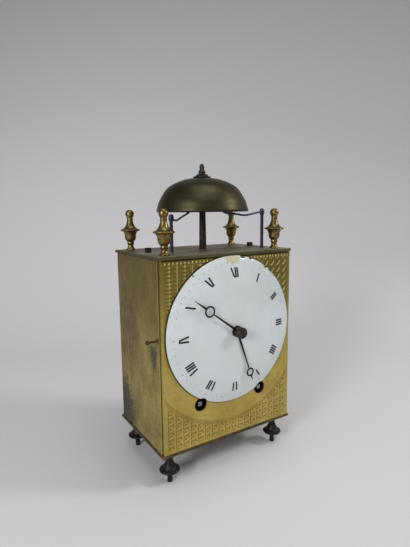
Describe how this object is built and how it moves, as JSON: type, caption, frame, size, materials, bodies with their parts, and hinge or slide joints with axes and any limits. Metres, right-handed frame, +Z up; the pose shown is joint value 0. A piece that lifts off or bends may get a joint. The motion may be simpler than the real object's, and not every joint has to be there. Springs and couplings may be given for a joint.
{
  "type": "lantern clock",
  "caption": "Small brass lantern clock: a box case with hinged doors on turned feet, a domed enamel dial, a bell on a post with hammers, and a spring-driven movement.",
  "frame": {"origin": "on the floor under the middle of the whole clock, door knobs and hand collet included", "axes": "+Z up, the dial faces -Y, +X to the right of the dial"},
  "size_m": [0.15, 0.1116, 0.2587],
  "materials": {
    "sheet_brass": "worn, tarnished",
    "turned_brass": "dull polished",
    "bell_metal": "dark patina",
    "iron": "dark, lightly rusted",
    "steel": "dull",
    "blued_iron": "blackened",
    "enamel": "glossy enamel on copper"
  },
  "bodies": {
    "case": {"bottom_plate": "sheet_brass", "top_plate": "sheet_brass", "front_plate": "sheet_brass", "corner_pillars": "sheet_brass", "feet": "iron", "finials": "turned_brass", "dial": "enamel", "hinge_rods": "iron", "bell": "bell_metal", "bell_post": "iron", "bell_washer": "iron", "bell_nut": "iron", "hanger_bar": "iron", "hanger_nuts": "iron", "movement_front_plate": "turned_brass", "movement_back_plate": "turned_brass", "movement_pillars": "turned_brass", "movement_studs": "steel", "movement_screws": "steel", "hammer_brackets": "turned_brass", "hammer_springs": "steel", "click_springs": "steel", "back_cock": "turned_brass"},
    "left_door": {"left_door": "sheet_brass", "left_door_knob": "turned_brass"},
    "right_door": {"right_door": "sheet_brass", "right_door_knob": "turned_brass"},
    "rear_door": {"rear_door": "sheet_brass", "rear_door_knob": "turned_brass"},
    "minute_hand": {"minute_hand": "blued_iron", "hand_collet": "turned_brass", "cannon_pinion": "turned_brass"},
    "hour_hand": {"hour_hand": "blued_iron", "hour_wheel": "turned_brass"},
    "minute_wheel": {"minute_wheel": "turned_brass"},
    "going_barrel": {"going_barrel": "turned_brass", "going_mainspring": "steel"},
    "going_winding_arbor": {"going_winding_arbor": "steel"},
    "going_click": {"going_click": "steel"},
    "intermediate_wheel": {"intermediate_wheel": "turned_brass"},
    "centre_wheel": {"centre_wheel": "turned_brass"},
    "third_wheel": {"third_wheel": "turned_brass"},
    "escape_wheel": {"escape_wheel": "turned_brass"},
    "pendulum": {"pallets": "steel", "pendulum_rod": "iron"},
    "pendulum_bob": {"pendulum_bob": "turned_brass", "rating_nut": "turned_brass"},
    "strike_barrel": {"strike_barrel": "turned_brass", "strike_mainspring": "steel"},
    "strike_winding_arbor": {"strike_winding_arbor": "steel"},
    "strike_click": {"strike_click": "steel"},
    "pin_wheel": {"pin_wheel": "turned_brass"},
    "warning_wheel": {"warning_wheel": "turned_brass"},
    "fly": {"fly": "turned_brass"},
    "count_wheel": {"count_wheel": "turned_brass"},
    "alarm_wheel": {"alarm_wheel": "turned_brass"},
    "strike_hammer": {"strike_hammer": "iron"},
    "alarm_hammer": {"alarm_hammer": "iron"},
    "lifting_lever": {"lifting_lever": "steel"},
    "locking_lever": {"locking_lever": "steel"}
  },
  "joints": [
    {"name": "left_door_hinge", "type": "hinge", "parent": "case", "child": "left_door", "pos_m": [-0.0633, 0.04215, 0.1059], "axis": [0, 0, 1], "range_deg": [-100, 0]},
    {"name": "right_door_hinge", "type": "hinge", "parent": "case", "child": "right_door", "pos_m": [0.0633, 0.04215, 0.1059], "axis": [0, 0, 1], "range_deg": [0, 100]},
    {"name": "rear_door_hinge", "type": "hinge", "parent": "case", "child": "rear_door", "pos_m": [0.0595, 0.04405, 0.1059], "axis": [0, 0, 1], "range_deg": [-95, 0]},
    {"name": "minute_hand_turn", "type": "hinge", "parent": "case", "child": "minute_hand", "pos_m": [0, -0.04865, 0.1212], "axis": [0, 1, 0], "continuous": true},
    {"name": "hour_hand_turn", "type": "hinge", "parent": "case", "child": "hour_hand", "pos_m": [0, -0.04755, 0.1212], "axis": [0, 1, 0], "continuous": true},
    {"name": "minute_wheel_turn", "type": "hinge", "parent": "case", "child": "minute_wheel", "pos_m": [-0.01474, -0.02875, 0.11088], "axis": [0, 1, 0], "continuous": true},
    {"name": "third_wheel_turn", "type": "hinge", "parent": "case", "child": "third_wheel", "pos_m": [0.01456, -0.00475, 0.13835], "axis": [0, 1, 0], "continuous": true},
    {"name": "centre_wheel_turn", "type": "hinge", "parent": "case", "child": "centre_wheel", "pos_m": [0, 0.00325, 0.1212], "axis": [0, 1, 0], "continuous": true},
    {"name": "intermediate_wheel_turn", "type": "hinge", "parent": "case", "child": "intermediate_wheel", "pos_m": [0.0224, 0.01525, 0.09615], "axis": [0, 1, 0], "continuous": true},
    {"name": "going_barrel_turn", "type": "hinge", "parent": "case", "child": "going_barrel", "pos_m": [0.0304, 0.00925, 0.06352], "axis": [0, 1, 0], "continuous": true},
    {"name": "escape_wheel_turn", "type": "hinge", "parent": "case", "child": "escape_wheel", "pos_m": [0, 0.01875, 0.1504], "axis": [0, 1, 0], "continuous": true},
    {"name": "warning_wheel_turn", "type": "hinge", "parent": "case", "child": "warning_wheel", "pos_m": [-0.01986, -0.00275, 0.10493], "axis": [0, 1, 0], "continuous": true},
    {"name": "pin_wheel_turn", "type": "hinge", "parent": "case", "child": "pin_wheel", "pos_m": [-0.03739, 0.01525, 0.09638], "axis": [0, 1, 0], "continuous": true},
    {"name": "strike_barrel_turn", "type": "hinge", "parent": "case", "child": "strike_barrel", "pos_m": [-0.0304, 0.00925, 0.06352], "axis": [0, 1, 0], "continuous": true},
    {"name": "fly_turn", "type": "hinge", "parent": "case", "child": "fly", "pos_m": [-0.02542, -0.01975, 0.1187], "axis": [0, 1, 0], "continuous": true},
    {"name": "count_wheel_turn", "type": "hinge", "parent": "case", "child": "count_wheel", "pos_m": [-0.02474, 0.02725, 0.07832], "axis": [0, 1, 0], "continuous": true},
    {"name": "going_winding_turn", "type": "hinge", "parent": "case", "child": "going_winding_arbor", "pos_m": [0.0304, -0.02605, 0.06352], "axis": [0, 1, 0], "continuous": true},
    {"name": "strike_winding_turn", "type": "hinge", "parent": "case", "child": "strike_winding_arbor", "pos_m": [-0.0304, -0.02605, 0.06352], "axis": [0, 1, 0], "continuous": true},
    {"name": "going_click_lift", "type": "hinge", "parent": "case", "child": "going_click", "pos_m": [0.03864, -0.02605, 0.07754], "axis": [0, 1, 0], "range_deg": [0, 7], "stiffness_Nm_per_rad": 0.002, "springref_deg": -5.73},
    {"name": "strike_click_lift", "type": "hinge", "parent": "case", "child": "strike_click", "pos_m": [-0.03864, -0.02605, 0.07754], "axis": [0, 1, 0], "range_deg": [-7, 0], "stiffness_Nm_per_rad": 0.002, "springref_deg": 5.73},
    {"name": "pendulum_swing", "type": "hinge", "parent": "case", "child": "pendulum", "pos_m": [0, 0.03425, 0.16596], "axis": [0, 1, 0], "range_deg": [-3, 3]},
    {"name": "bob_slide", "type": "slide", "parent": "pendulum", "child": "pendulum_bob", "axis": [0, 0, 1], "range_m": [-0.004, 0.004]},
    {"name": "alarm_wheel_turn", "type": "hinge", "parent": "case", "child": "alarm_wheel", "pos_m": [0.046, 0.00575, 0.1212], "axis": [0, 1, 0], "continuous": true},
    {"name": "strike_hammer_draw", "type": "hinge", "parent": "case", "child": "strike_hammer", "pos_m": [-0.0365, -0.00675, 0.1848], "axis": [0, 0, 1], "range_deg": [0, 30], "stiffness_Nm_per_rad": 0.01, "springref_deg": -5.73},
    {"name": "alarm_hammer_draw", "type": "hinge", "parent": "case", "child": "alarm_hammer", "pos_m": [0.0515, -0.01625, 0.1848], "axis": [0, 0, 1], "range_deg": [-14, 0], "stiffness_Nm_per_rad": 0.01, "springref_deg": 5.73},
    {"name": "lifting_lever_lift", "type": "hinge", "parent": "case", "child": "lifting_lever", "pos_m": [-0.04133, -0.02875, 0.11556], "axis": [0, 1, 0], "range_deg": [-10, 0]},
    {"name": "locking_lever_lift", "type": "hinge", "parent": "case", "child": "locking_lever", "pos_m": [-0.05418, 0.02725, 0.09532], "axis": [0, 1, 0], "range_deg": [-8, 0]}
  ],
  "couplings": [
    {"joint": "minute_wheel_turn", "follows": "minute_hand_turn", "ratio": -0.33333},
    {"joint": "hour_hand_turn", "follows": "minute_hand_turn", "ratio": 0.083333},
    {"joint": "centre_wheel_turn", "follows": "third_wheel_turn", "ratio": -0.071429},
    {"joint": "intermediate_wheel_turn", "follows": "third_wheel_turn", "ratio": 0.010204},
    {"joint": "going_barrel_turn", "follows": "third_wheel_turn", "ratio": -0.0014577},
    {"joint": "escape_wheel_turn", "follows": "third_wheel_turn", "ratio": -13},
    {"joint": "pin_wheel_turn", "follows": "warning_wheel_turn", "ratio": -0.083333},
    {"joint": "strike_barrel_turn", "follows": "warning_wheel_turn", "ratio": 0.011905},
    {"joint": "fly_turn", "follows": "warning_wheel_turn", "ratio": -10},
    {"joint": "count_wheel_turn", "follows": "warning_wheel_turn", "ratio": 0.0074074}
  ]
}
